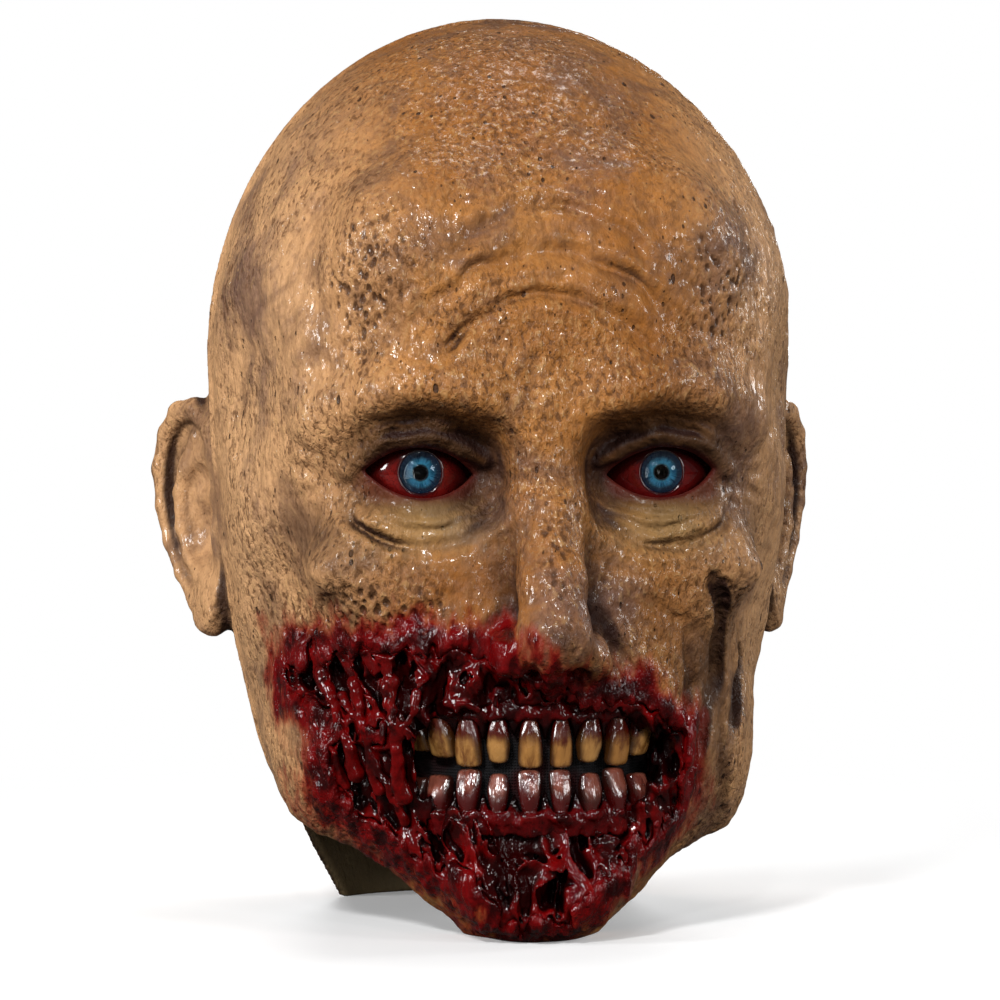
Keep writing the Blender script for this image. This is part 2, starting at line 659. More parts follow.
def skin_surface(volume, solid, name):
    """Meshes one skin half, roughens its painted side and stores what its paint needs."""
    points, quads = without_crumbs(*volume.mesh(solid))
    normals = point_normals(points, quads)
    outer = smooth_step(-2.2, -0.7, volume.at(points))
    x, y, z = points.T
    # the blood thins out towards the back of the cheek, so that it doesn't run round the head
    from_edge = np.maximum(wound(x, z, 0.7), 0.9 * (y + 34) + 5 * noise(x / 9, y / 9, z / 9, 44))
    outer = np.maximum(outer, smooth_step(6, 2, from_edge) * smooth_step(-3.8, -3.0, volume.at(points)))
    front = smooth_step(20, -40, y)
    rough = 0.42 * noise(x / 13, y / 13, z / 13, 11) + 0.30 * noise(x / 5.5, y / 5.5, z / 6.5, 12) \
        + 0.22 * noise(x / 2.6, y / 2.6, z / 3.8, 13)
    pit, spongy = pits(x, y, z)
    pit *= outer * smooth_step(2, 9, from_edge)
    torn = smooth_step(15, 1, from_edge) * octaves(x / 3.0, y / 6, z / 15, 17, 2)
    move = (rough * (0.62 + 0.55 * front + 0.8 * spongy) - pit) * outer + 1.5 * torn * outer
    clear = np.minimum.reduce([np.linalg.norm(points - np.array([side * EYE_X, EYE_Y, EYE_Z]), axis=1)
                               for side in (-1, 1)]) - EYE_R
    move *= smooth_step(1.0, 7.0, clear) * 0.85 + 0.15
    move *= smooth_step(0.3, 1.5, np.abs(y - SEAM_Y - 0.1)) * smooth_step(0.4, 2.0, z)
    outer = np.maximum(outer, smooth_step(5.5, 3.5, clear) * smooth_step(EYE_Y - 5, EYE_Y - 9, y))
    open_share = openness(volume, points, normals)
    points = points + normals * move[:, None]
    points[:, 2] = np.maximum(points[:, 2], 0)
    thing = mesh_object(name, points, quads)
    socket = np.minimum.reduce([np.hypot((x - side * EYE_X) / 1.25, z - EYE_Z - 3) for side in (-1, 1)])
    bag = mound(np.abs(x), z, (EYE_X - 1, EYE_Z - 17), (17, 8))
    sunk = (mound(x, z, (54, 82), (13, 27)) + 0.35 * mound(x, z, (34, 96), (12, 14))
            + 0.35 * mound(x, z, (-60, 116), (14, 12)))
    painted = outer * front
    set_values(thing, outer=outer, open=open_share, pit=pit, edge=np.clip(from_edge, -6, 60) / 60,
               lid=smooth_step(6.5, 1.2, clear) * outer, socket=smooth_step(25, 10, socket) * painted,
               bag=bag * painted, sunk=np.clip(sunk, 0, 1) * painted)
    return thing


def take_place(thing, node, material):
    """Lets a finished piece stand for a CAD node."""
    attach(thing, "root")
    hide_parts(node)
    thing.data.materials.append(material)


def make_skin(v, hollow, side, name, node, material):
    """One half of the skin. side is negative where it is kept."""
    # a solid cup round each eye dome stands in the hollow
    for eye in (-1, 1):
        at = np.array([eye * EYE_X, EYE_Y, EYE_Z])
        s, cx, cy, cz = v.part(at - 24, at + (24, 6, 24))
        if v.d[s].size:
            cup = np.maximum(ball(at, EYE_R + 3).distance(cx, cy, cz), cy - EYE_Y - 2)
            hollow[s] = cut(hollow[s], cup, 1)
    work = v.like(cut(v.d, hollow, 0.6))
    dome, opening = eye_shapes()
    work.change(cut, dome, 0.5, both=True)
    work.change(cut, opening, 1.6, both=True)
    work.change(cut, rod((7.5, -112, 76), (8, -98, 92), 3.0, 3.0), 1.5, both=True)
    # the torn opening, with swollen lips
    s, wx, wy, wz = work.part((-90, -128, 0), (62, -14, 102))
    if work.d[s].size:
        lip = 1.2 * np.exp(-((wound(wx, wz, 0.5) - 3.5) / 4.0) ** 2) * smooth_step(-14, -34, wy)
        v.d[s] -= lip
        work.d[s] = cut(work.d[s] - lip * 0.8, np.maximum(wound(wx, wz), wy + 20), 2.6)
    work.d = cut(work.d, shoulder_arch(v.y, v.z), 0.8)
    work.d = common(work.d, -v.z, 0.6)
    thing = skin_surface(v, common(work.d, side, 0.5), name)
    take_place(thing, node, material)


# ---- teeth and gums, on the arch ----

def middle(node):
    low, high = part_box(node)
    return [(low[i] + high[i]) / 2 / MM for i in range(3)]


def tooth_turn(node):
    """Where a tooth stands on the arch, in radians from the front towards +X."""
    x, y, _ = middle(node)
    return math.atan2(x, ARCH_Y - y)


def on_arch(turn, out, z):
    """A point of the arch, out millimetres from its middle line."""
    return ((ARCH_R + out) * math.sin(turn), ARCH_Y - (ARCH_R + out) * math.cos(turn), z)


def off_arch(x, y):
    """How far places stand outside the arch's middle line."""
    return np.hypot(x, y - ARCH_Y) - ARCH_R


def tooth_mesh(node, upper, draw):
    """The points and faces of one worn tooth: rings from the root to a rounded biting edge."""
    low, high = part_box(node)
    turn = tooth_turn(node)
    root_z, tip_z = ((high.z / MM, low.z / MM) if upper else (low.z / MM, high.z / MM))
    down = 1 if tip_z > root_z else -1
    length = abs(tip_z - root_z) + TOOTH_EXTRA
    rank = min(4, int(abs(turn) / TOOTH_STEP + 0.5))
    half_w = (4.15 if upper else 3.8) * (1, 0.9, 0.95, 1.0, 1.08)[rank] * draw.uniform(0.94, 1.06)
    half_t = (2.7, 2.7, 3.1, 3.7, 4.1)[rank]
    tilt, lean = draw.uniform(-0.05, 0.05), draw.uniform(-0.04, 0.04)
    ring, rows = TOOTH_RING, TOOTH_ROWS
    points = []
    for i in range(rows + 1):
        w = i / rows
        wide = half_w * (0.60 + 0.40 * math.sin(min(1.0, w / 0.80) * math.pi / 2))
        thick = half_t * (1 - 0.55 * max(0.0, (w - 0.25) / 0.75) ** 1.3)
        end = max(0.0, (w - 0.80) / 0.20)
        wide *= max(0.0, 1 - end ** 3.2) ** 0.5
        thick *= max(0.0, 1 - end ** 2.4) ** 0.6
        if rank == 2:
            wide *= 1 - 0.28 * max(0.0, (w - 0.6) / 0.4)
        along = w * length + 0.5 * math.sin(end * 3)
        for k in range(ring):
            a = 2 * math.pi * k / ring
            ca, sa = math.cos(a), math.sin(a)
            u = wide * math.copysign(abs(ca) ** (2 / 2.5), ca)
            t = thick * math.copysign(abs(sa) ** (2 / 2.3), sa)
            t += 0.55 * math.sin(min(1, w * 1.15) * math.pi) * (1 if sa > 0 else -0.3)
            u += tilt * along
            t += lean * along
            points.append((u, t, root_z + down * along))
    points = np.array(points)
    u, t, z = points.T
    wobble = 0.16 * noise(u / 3.2 + turn * 9, t / 3.2, z / 5, 61)
    wobble += 0.07 * noise(u / 1.1 + turn * 9, t / 2, z / 3, 62)
    t = t + wobble * np.sign(t)
    ridge = 0.14 * np.cos(u / half_w * 2.6 * math.pi) * (t > 0)
    t = t + ridge
    radius = ARCH_R + t
    angle = turn + u / ARCH_R
    points = np.stack([radius * np.sin(angle), ARCH_Y - radius * np.cos(angle), z], 1)
    faces = []
    for i in range(rows):
        for k in range(ring):
            j = (k + 1) % ring
            quad = [i * ring + k, i * ring + j, (i + 1) * ring + j, (i + 1) * ring + k]
            faces.append(quad if down < 0 else quad[::-1])
    root, tip = list(range(ring)), list(range(rows * ring, (rows + 1) * ring))
    return points, faces + ([root[::-1], tip] if down > 0 else [root, tip[::-1]])


def make_teeth(upper_paint, lower_paint):
    draw = np.random.default_rng(23)
    for jaw, upper, material in (("upper", True, upper_paint), ("lower", False, lower_paint)):
        for i in range(1, 10):
            node = f"{jaw}_tooth_{i}"
            points, faces = tooth_mesh(node, upper, draw)
            mesh = bpy.data.meshes.new(node)
            mesh.from_pydata([tuple(q) for q in points * MM], [], faces)
            mesh.polygons.foreach_set("use_smooth", [True] * len(mesh.polygons))
            mesh.update()
            thing = bpy.data.objects.new(f"worn_{node}", mesh)
            bpy.context.scene.collection.objects.link(thing)
            from_root = np.abs(points[:, 2] - points[0, 2])
            around = np.linspace(0, 2 * math.pi, TOOTH_RING, endpoint=False)
            set_values(thing, crown=from_root / from_root.max(),
                       rim=np.tile(np.abs(np.cos(around)), TOOTH_ROWS + 1),
                       shade=np.full(len(points), draw.uniform(0, 1)))
            take_place(thing, node, material)


def make_gums(material):
    for jaw, sign, margin in (("upper", 1, UPPER_GUM_Z), ("lower", -1, LOWER_GUM_Z)):
        low, high = (np.array(corner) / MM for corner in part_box(f"{jaw}_gum"))
        v = Volume(low - (2, 4, 7), high + (2, 2, 7), 0.55)
        x, y, z = v.x, v.y, v.z
        r = off_arch(x, y)
        turn = np.arctan2(x, ARCH_Y - y)
        rise = sign * (z - margin)
        height = high[2] - low[2]
        band = np.maximum(np.abs(r) - 2.4, np.maximum(rise - height, -rise + 0.5))
        v.d = np.maximum(band, (np.abs(turn) - GUM_HALF) * ARCH_R).astype(np.float32)
        turns = [tooth_turn(f"{jaw}_tooth_{i}") for i in range(1, 10)]
        for t in turns:
            tip = on_arch(t, 0.6, margin + sign * 1.5)
            v.change(join, rod(tip, on_arch(t, 0.2, margin + sign * (height - 2)), 4.2, 3.0), 1.8)
        for t, u in zip(turns[:-1], turns[1:]):
            between = (t + u) / 2
            tip = on_arch(between, -0.4, margin - sign * 6.0)
            v.change(join, rod(tip, on_arch(between, 0.2, margin + sign * 3), 0.9, 2.6), 1.6)
        nearest = np.min([np.abs(turn - t) for t in turns], 0) * ARCH_R
        scallop = -(rise + 6.5 * smooth_step(2.4, 4.9, nearest) + 0.2)
        v.d = common(v.d, scallop, 1.2)
        v.d += 0.75 * octaves(x / 3.4, y / 3.4, z / 5, 71, 2)
        v.d = np.maximum(v.d, np.maximum(rise - height - 2.8, -rise - 6.2))
        points, quads = without_crumbs(*v.mesh())
        thing = mesh_object(f"{jaw}_gum_flesh", points, quads)
        set_values(thing, open=smooth_step(-1, 3.2, off_arch(points[:, 0], points[:, 1])))
        take_place(thing, f"{jaw}_gum", material)


# ---- the torn flesh ----

def slot_edge(x, z):
    """Distance to the mouth's own opening in the flesh, negative inside."""
    wide, tall = (x + 2) / 38.5, (z - 54.5 - 0.0012 * x * x) / 17.5
    near = (np.abs(wide) ** 2.5 + np.abs(tall) ** 2.5) ** (1 / 2.5)
    return (near - 1) * 20 + 2.2 * noise(x / 4.6, 0, z / 12, 82) + 1.2 * noise(x / 2.4, 0, z / 6, 83)


def make_flesh(head_volume, material):
    v = Volume((-90, -112, 2), (64, -18, 104), FLESH_PITCH)
    s = v.resample(head_volume)
    x, y, z = v.x, v.y, v.z
    inside = -wound(x, z)
    bend = [3.2 * noise(x / 11, y / 11, z / 11, k) for k in (91, 92, 93)]
    wx, wy, wz = x + bend[0], y + bend[1], z + bend[2]
    tilt = wx + 0.30 * (wz - 60)
    thread = np.exp(-(noise(tilt / 7.0, wy / 9, wz / 26, 94) / 0.17) ** 2)
    hair = np.exp(-(noise(tilt / 3.6, wy / 6, wz / 16, 95) / 0.22) ** 2)
    lumps = noise(wx / 4.8, wy / 4.8, wz / 6.5, 96)
    beads = noise(wx / 2.3, wy / 2.3, wz / 2.8, 90)
    gaps = smooth_step(-0.08, 0.32, noise(wx / 8, wy / 9, wz / 17, 97))
    deep = smooth_step(0.3, 7, inside)
    depth = 0.9 + deep * (4.2 - 3.8 * thread - 1.9 * hair - 1.6 * lumps - 1.0 * beads + 4.4 * gaps)
    depth = np.maximum(depth, 0.1)
    # some strands run out over the torn edge
    spill = 4.5 * smooth_step(0.35, 0.8, thread) * smooth_step(-0.1, 0.3, lumps)
    depth = depth - 0.9 * smooth_step(0.1, 3, spill) * smooth_step(4, 0, np.abs(inside + 0.5))
    behind = smooth_step(0.8, -1.2, inside + spill)
    depth = depth + behind * (WALL + 0.5 - depth)
    body = np.maximum(s + depth, -s - 11 - 9 * smooth_step(41, 36, z) * smooth_step(14, 22, z))
    body = np.maximum(body, -inside - 8.5)
    reach = off_arch(x, y)
    # the cheeks' inner walls, beside the last teeth
    turn = np.abs(np.arctan2(x, ARCH_Y - y))
    wall = np.maximum(np.abs(reach - 5.5 + 0.8 * lumps) - 2.0, np.abs(z - 55) - 22)
    wall = np.maximum(wall, (math.radians(46) - turn) * ARCH_R)
    corner = np.maximum(np.abs(reach - 1.5 + lumps) - 6, np.abs(z - 55) - 22)
    corner = np.maximum(corner, (math.radians(69) - turn) * ARCH_R)
    wall = join(wall, corner, 2)
    wall = np.maximum(np.maximum(wall, (turn - math.radians(94)) * ARCH_R), s + WALL + 0.5)
    body = join(body, wall, 2.5)
    body = cut(body, np.maximum(slot_edge(x, z), y + 74), 3.0)
    # the flesh stays clear of the jaws behind it
    teeth = np.maximum(np.abs(reach + 0.5) - 3.4, np.abs(z - 54) - 14.5)
    behind_gums = np.maximum(reach + 1.5, np.abs(z - 55.5) - 23)
    jaws = np.maximum(np.minimum(teeth, behind_gums), (turn - JAW_HALF) * ARCH_R)
    body = cut(body, jaws, 0.6)
    body = cut(body, shoulder_arch(y, z), 0.6)
    body = np.maximum(body, 3.2 - z)
    v.d = (body + 0.30 * noise(wx / 1.7, wy / 1.7, wz / 2.6, 98)).astype(np.float32)
    points, quads = without_crumbs(*v.mesh(), least=3000)
    normals = point_normals(points, quads)
    open_share = openness(v, points, normals, (1.2, 2.5, 4.5, 8))
    thing = mesh_object("torn_flesh", points, quads)
    below = -v.like(s).at(points)
    set_values(thing, open=open_share, raised=smooth_step(6.0, 0.8, below))
    take_place(thing, "wound_flesh", material)


def make_strands(head_volume, material):
    """Strands of torn skin that still span the open cheek."""
    draw = np.random.default_rng(5)
    v = Volume((-76, -108, 26), (-30, -48, 92), 0.5)
    paths = [([(-63, 80), (-60, 66), (-54, 50)], 1.9), ([(-55, 78), (-53, 64), (-48, 46)], 1.6),
             ([(-46, 79), (-46, 66), (-42, 44)], 1.9), ([(-59, 74), (-52, 63), (-50, 52)], 1.0),
             ([(-68, 70), (-62, 58), (-57, 46)], 1.3), ([(-39, 76), (-40, 70), (-44, 62)], 1.0),
             ([(-50, 56), (-46, 46), (-40, 36)], 1.2)]
    for path, radius in paths:
        xs = np.interp(np.linspace(0, 2, 13), [0, 1, 2], [q[0] for q in path])
        zs = np.interp(np.linspace(0, 2, 13), [0, 1, 2], [q[1] for q in path])
        xs = xs + draw.normal(0, 0.45, 13)
        sink = 2.6 - 1.6 * np.sin(np.linspace(0, math.pi, 13))
        ys = head_volume.front(xs, zs) + sink + radius * 0.6
        size = radius * (1.35 - 0.65 * np.sin(np.linspace(0, math.pi, 13))) * draw.uniform(0.85, 1.15, 13)
        v.change(join, chain(list(zip(xs, ys, zs)), size, 1.0), 1.6)
    v.d += 0.3 * noise(v.x / 1.8, v.y / 1.8, v.z / 4.5, 88)
    points, quads = without_crumbs(*v.mesh(), least=300)
    thing = mesh_object("torn_strands", points, quads)
    set_values(thing, open=np.ones(len(points)), raised=np.ones(len(points)) * 0.9)
    take_place(thing, "cheek_strands", material)


# ---- turned pieces: the eyes ----

def turned(name, outline, place, ring=128, closed=True):
    """A piece turned about the axis that looks along -Y, from rows of [radius, forward].

    It comes with each point's radius and turn.
    """
    points, turn = [], np.linspace(0, 2 * math.pi, ring, endpoint=False)
    for radius, forward in outline:
        points.append(np.stack([radius * np.cos(turn), np.full(ring, -forward), radius * np.sin(turn)], 1))
    points = np.concatenate(points) + np.array(place)
    rows = len(outline)
    faces = [[i * ring + k, i * ring + (k + 1) % ring, (i + 1) % rows * ring + (k + 1) % ring,
              (i + 1) % rows * ring + k] for i in range(rows if closed else rows - 1) for k in range(ring)]
    thing = mesh_object(name, points, np.array(faces))
    return thing, np.repeat([q[0] for q in outline], ring), np.tile(turn, rows)


def cap_outline(radius, height, rows=14):
    """A shallow clear cap: out along its front, back along its flat rear."""
    r = (radius ** 2 + height ** 2) / (2 * height)
    front = [(q, math.sqrt(r * r - q * q) - (r - height)) for q in np.linspace(0.01, radius, rows)]
    back = [(q, 0.0) for q in np.linspace(radius, 0.01, 6)]
    return front + back


def make_eyes(white, print_paint, lens, ring_paint):
    for side, eye in ((1, "left"), (-1, "right")):
        place = (side * EYE_X, EYE_Y, EYE_Z)
        hole = math.asin((IRIS_R + 0.05) / EYE_R)
        outer = [(EYE_R * math.sin(t), EYE_R * math.cos(t)) for t in np.linspace(hole, math.pi / 2, 40)]
        inner_r = EYE_R - DOME_WALL
        inner = [(inner_r * math.sin(t), inner_r * math.cos(t))
                 for t in np.linspace(math.pi / 2, math.asin(IRIS_R / inner_r), 24)]
        thing, radius, around = turned(f"{eye}_eyeball", outer + inner, place)
        set_values(thing, ring=np.clip((radius - IRIS_R) / (EYE_R - IRIS_R), 0, 1),
                   up=radius * np.sin(around) / EYE_R)
        take_place(thing, f"{eye}_eye_dome", white)
        front = math.sqrt(EYE_R ** 2 - IRIS_R ** 2)
        face = [(PUPIL_R + 0.05, front - 1.0)] + [(q, front - 0.15 - 0.55 * ((IRIS_R - q) / IRIS_R) ** 2)
                                                 for q in np.linspace(PUPIL_R, IRIS_R, 22)]
        back = [(IRIS_R, front - 1.2), (PUPIL_R + 0.05, front - 1.2)]
        thing, radius, around = turned(f"{eye}_iris_disc", face + back, place, 160)
        set_values(thing, ring=radius / IRIS_R, east=np.cos(around), north=np.sin(around))
        take_place(thing, f"{eye}_iris", print_paint)
        cap = [(q, front + 0.05 + f) for q, f in cap_outline(IRIS_R, LENS_RISE)]
        thing, _, _ = turned(f"{eye}_clear_cap", cap, place, closed=False)
        take_place(thing, f"{eye}_cornea", lens)
        for slot in bpy.data.objects[f"{eye}_eye_ring"].material_slots:
            slot.material = ring_paint


# ---- what is inside: pads, tape and mesh ----

PADS = (("crown_pad", (-44, -36, 226), (44, 60, 286),
         lambda x, y, z: common(np.hypot(x, y - WIDE_Y) - 39, 229 - z, 4)),
        ("forehead_pad", (-44, -112, 184), (44, -5, 222),
         lambda x, y, z: common(np.abs(x) - 39, np.abs(z - 203) - 14, 5)),
        ("back_pad", (-42, 56, 116), (42, 126, 184),
         lambda x, y, z: common(np.abs(x) - 37, np.abs(z - 150) - 29, 5)))


def under_wall(v, hollows):
    """The hollow's distance on a grid that may cross the seam."""
    face, rear = hollows
    total = v.resample(rear)
    ahead = v.y.ravel() < SEAM_Y - 12
    if ahead.any():
        total[:, ahead] = v.resample(face)[:, ahead]
    return total


def make_pads(hollows, foam):
    """Foam slabs under the wall, cut to their outlines and rounded off."""
    for name, low, high, outline in PADS:
        v = Volume(low, high, 1.0)
        h = under_wall(v, hollows)
        body = common(np.maximum(h + 0.4, -h - 11.2), outline(v.x, v.y, v.z), 7)
        v.d = (body + 0.3 * noise(v.x / 9, v.y / 9, v.z / 9, 3)).astype(np.float32)
        thing = mesh_object(f"foam_{name}", *without_crumbs(*v.mesh()))
        take_place(thing, name, foam)


def make_tape(hollows, tape):
    """A strip of cloth along the inside of the seam."""
    v = Volume((-100, -6, 2), (100, 22, 284), 0.9)
    h = under_wall(v, hollows)
    body = np.maximum(h - 0.15, -h - 1.3)
    wave = 0.5 * noise(v.z / 6, 0, 0, 9)
    body = np.maximum(body, np.abs(v.y - SEAM_Y + wave) - 9)
    body = cut(body, shoulder_arch(v.y, v.z), 0)
    v.d = np.maximum(body, 3 - v.z).astype(np.float32)
    thing = mesh_object("cotton_seam_tape", *without_crumbs(*v.mesh()))
    take_place(thing, "seam_tape", tape)


def make_net(mesh_paint):
    """The black net, bent to the arch behind the jaws."""
    low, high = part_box("mouth_mesh")
    columns, rows = 120, 48
    reach = math.radians(84)
    turn, z = np.meshgrid(np.linspace(-reach, reach, columns), np.linspace(low.z / MM, high.z / MM, rows),
                          indexing="ij")
    r = NET_R + 0.12 * noise(turn * 6, 0, z / 14, 15)
    points = np.stack([r * np.sin(turn), ARCH_Y - r * np.cos(turn), z], 2).reshape(-1, 3)
    faces = [[i * rows + k, (i + 1) * rows + k, (i + 1) * rows + k + 1, i * rows + k + 1]
             for i in range(columns - 1) for k in range(rows - 1)]
    thing = mesh_object("black_mouth_mesh", points, np.array(faces))
    uv = thing.data.uv_layers.new(name="cloth")
    across = np.stack([(turn * NET_R).ravel(), z.ravel()], 1) * MM
    loops = np.empty(len(thing.data.loops), np.int32)
    thing.data.loops.foreach_get("vertex_index", loops)
    uv.data.foreach_set("uv", across[loops].astype(np.float32).ravel())
    take_place(thing, "mouth_mesh", mesh_paint)


# ---- materials ----

class Paint:
    """A node material with short ways to add and link nodes."""

    def __init__(self, name):
        self.material = bpy.data.materials.new(name)
        self.material.use_nodes = True
        self.tree = self.material.node_tree
        self.tree.nodes.clear()
        self.shader = self.node("BsdfPrincipled")
        self.output = self.node("OutputMaterial", self.shader.outputs[0])
        self.where = self.node("TexCoord").outputs["Object"]

    def node(self, kind, *values, **named):
        """A new node, its inputs fed in their order or by name."""
        made = self.tree.nodes.new("ShaderNode" + kind)
        for socket, v in zip(made.inputs, values):
            self.feed(socket, v)
        for name, v in named.items():
            self.feed(made.inputs[name.replace("_", " ")], v)
        return made

    def feed(self, socket, value):
        if isinstance(value, bpy.types.NodeSocket):
            self.tree.links.new(value, socket)
        elif isinstance(value, tuple) and socket.type == "RGBA":
            socket.default_value = (*value, 1)
        else:
            socket.default_value = value

    def value(self, name):
        """A number stored at the points."""
        made = self.node("Attribute")
        made.attribute_name = name
        return made.outputs["Fac"]

    def stretched(self, scale):
        return self.node("Mapping", Vector=self.where, Scale=scale).outputs[0] if scale else self.where

    def noise(self, scale, detail=3.0, rough=0.5, stretch=None, distortion=0.0):
        return self.node("TexNoise", Vector=self.stretched(stretch), Scale=scale, Detail=detail,
                         Roughness=rough, Distortion=distortion).outputs["Fac"]

    def cells(self, scale, stretch=None):
        return self.node("TexVoronoi", Vector=self.stretched(stretch), Scale=scale)

    def wave(self, scale, axis):
        made = self.node("TexWave", Vector=self.where, Scale=scale, Distortion=0.4)
        made.bands_direction = axis
        return made.outputs["Fac"]

    def math(self, kind, a, b=0.0):
        made = self.node("Math", a, b)
        made.operation = kind
        return made.outputs[0]

    def times(self, a, b):
        return self.math("MULTIPLY", a, b)

    def plus(self, a, b):
        return self.math("ADD", a, b)

    def minus(self, a, b):
        return self.math("SUBTRACT", a, b)

    def ramp(self, value, low, high, to_low=0.0, to_high=1.0):
        made = self.node("MapRange", value, low, high, to_low, to_high)
        made.interpolation_type = "SMOOTHSTEP"
        return made.outputs[0]

    def mix(self, share, a, b):
        """A mix of two colours, by the colour sockets among the node's inputs."""
        made = self.node("Mix", share)
        made.data_type = "RGBA"
        self.feed(made.inputs[6], a)
        self.feed(made.inputs[7], b)
        return made.outputs[2]

    def blend(self, share, a, b):
        """A mix of two shaders."""
        return self.node("MixShader", share, a, b).outputs[0]

    def bump(self, height, distance, strength=1.0, after=None):
        under = {} if after is None else {"Normal": after}
        return self.node("Bump", Height=height, Distance=distance, Strength=strength, **under).outputs[0]

    def finish(self, **inputs):
        if "Coat_Weight" in inputs:
            inputs.setdefault("Coat_Normal", inputs["Normal"])
        for name, v in inputs.items():
            self.feed(self.shader.inputs[name.replace("_", " ")], v)
        return self.material


def skin_paint():
    p = Paint("painted_latex")
    outer, open_share, edge, lid = (p.value(n) for n in ("outer", "open", "edge", "lid"))
    pit, socket, bag, sunk = (p.value(n) for n in ("pit", "socket", "bag", "sunk"))
    axes = p.node("SeparateXYZ", p.where).outputs
    across = p.math("MAXIMUM", p.ramp(p.math("ABSOLUTE", axes[0]), 0.030, 0.085),
                    p.ramp(axes[1], 0.02, 0.09, 0, 0.75))
    broad = p.noise(10, 4, 0.55)
    fine = p.noise(330, 4, 0.65, stretch=(1, 1, 0.5))
    pebble = p.noise(560, 2, 0.60, stretch=(1, 1, 0.65), distortion=0.3)
    coarse = p.ramp(p.noise(24, 3, 0.6), 0.36, 0.60, 0.30, 1.0)
    tan = p.mix(p.ramp(broad, 0.36, 0.64), (0.270, 0.098, 0.020), (0.380, 0.160, 0.042))
    tan = p.mix(across, tan, p.mix(broad, (0.470, 0.245, 0.108), (0.670, 0.385, 0.190)))
    tan = p.mix(p.ramp(p.noise(30, 5, 0.68, distortion=0.8), 0.46, 0.66, 0, 0.70), tan, (0.120, 0.060, 0.038))
    tan = p.mix(p.ramp(p.noise(16, 6, 0.70), 0.49, 0.66, 0, 0.68), tan, (0.115, 0.064, 0.056))
    calm = p.minus(1.0, p.times(across, 0.45))
    tan = p.mix(p.times(p.ramp(fine, 0.40, 0.68, 0, 0.44), calm), tan, (0.140, 0.062, 0.024))
    tan = p.mix(p.times(p.ramp(pebble, 0.48, 0.34, 0, 0.75), coarse), tan, (0.085, 0.034, 0.012))
    tan = p.mix(p.times(p.ramp(pebble, 0.54, 0.68, 0, 0.35), coarse), tan, (0.560, 0.330, 0.130))
    # pores: small dark ovals, thick in some patches
    crowd = p.ramp(p.noise(22, 3, 0.6), 0.36, 0.62, 0.35, 1.0)
    pore = 0.0
    for scale, size, shade in ((260, 0.25, 0.90), (540, 0.26, 0.70)):
        cells = p.cells(scale, stretch=(1, 1, 0.5))
        own = p.node("SeparateColor", cells.outputs["Color"]).outputs[0]
        chance = p.times(p.ramp(own, 0.40, 1.0, 0.0, size), crowd)
        dot = p.ramp(p.minus(chance, cells.outputs["Distance"]), 0.0, 0.09)
        tan = p.mix(p.times(dot, shade), tan, (0.040, 0.017, 0.009))
        pore = p.math("MAXIMUM", pore, dot)
    tan = p.mix(p.ramp(pit, 0.12, 0.60, 0, 0.85), tan, (0.060, 0.024, 0.010))
    # airbrushed shade in the sockets and hollows
    tan = p.mix(p.times(sunk, p.ramp(p.noise(45, 4, 0.6), 0.30, 0.62, 0.45, 0.95)), tan,
                p.mix(p.noise(90, 4), (0.034, 0.014, 0.007), (0.100, 0.048, 0.022)))
    tan = p.mix(p.times(socket, 0.93), tan,
                p.mix(p.noise(60, 4), (0.016, 0.006, 0.004), (0.055, 0.026, 0.011)))
    tan = p.mix(p.times(bag, 0.60), tan, p.mix(fine, (0.42, 0.270, 0.100), (0.26, 0.150, 0.060)))
    tan = p.mix(p.ramp(open_share, 0.88, 0.42, 0, 0.95), tan, (0.022, 0.009, 0.007))
    tan = p.mix(p.times(lid, 0.85), tan,
                p.mix(p.noise(190, 3), (0.150, 0.018, 0.010), (0.045, 0.006, 0.005)))
    # blood: wet and dark at the torn edge, then crimson, then a thin orange haze
    streak = p.minus(p.noise(75, 5, 0.65, stretch=(1.7, 1, 0.4)), 0.5)
    away = p.plus(edge, p.times(streak, 0.42))
    haze = p.ramp(away, 0.25, 0.12, 0, 0.90)
    tan = p.mix(haze, tan, p.mix(p.noise(40, 3), (0.280, 0.030, 0.010), (0.160, 0.006, 0.005)))
    wet = p.ramp(away, 0.18, 0.10)
    blood = p.mix(p.ramp(p.noise(150, 4), 0.38, 0.66), (0.125, 0.0012, 0.0018), (0.022, 0.0003, 0.0006))
    tan = p.mix(wet, tan, blood)
    raw = p.mix(p.noise(60, 4), (0.33, 0.24, 0.13), (0.24, 0.17, 0.085))
    raw = p.mix(p.ramp(p.noise(240, 3), 0.5, 0.8, 0, 0.4), raw, (0.30, 0.22, 0.11))
    colour = p.mix(outer, raw, tan)
    rough = p.ramp(fine, 0.3, 0.7, 0.34, 0.56)
    rough = p.mix(wet, rough, p.ramp(p.noise(120, 3), 0.4, 0.6, 0.10, 0.26))
    height = p.minus(p.times(fine, 0.8), p.times(pore, 0.8))
    normal = p.bump(height, 0.0010, 1.0, p.bump(p.times(pebble, coarse), 0.0016, 1.0))
    gloss = p.times(p.ramp(pebble, 0.44, 0.62, 0.04, 0.60), p.ramp(socket, 0.2, 0.9, 1.0, 0.25))
    gloss = p.times(gloss, p.ramp(open_share, 0.45, 0.88, 0.10, 1.0))
    gloss = p.mix(wet, gloss, (0.34, 0.34, 0.34))
    grit = p.times(p.noise(450, 2, 0.5, stretch=(1, 1, 0.6)), coarse)
    return p.finish(Base_Color=colour, Roughness=rough, Normal=normal, Specular_IOR_Level=0.12, IOR=1.45,
                    Coat_Weight=gloss, Coat_Roughness=0.12, Coat_Normal=p.bump(grit, 0.0013, 1.0))


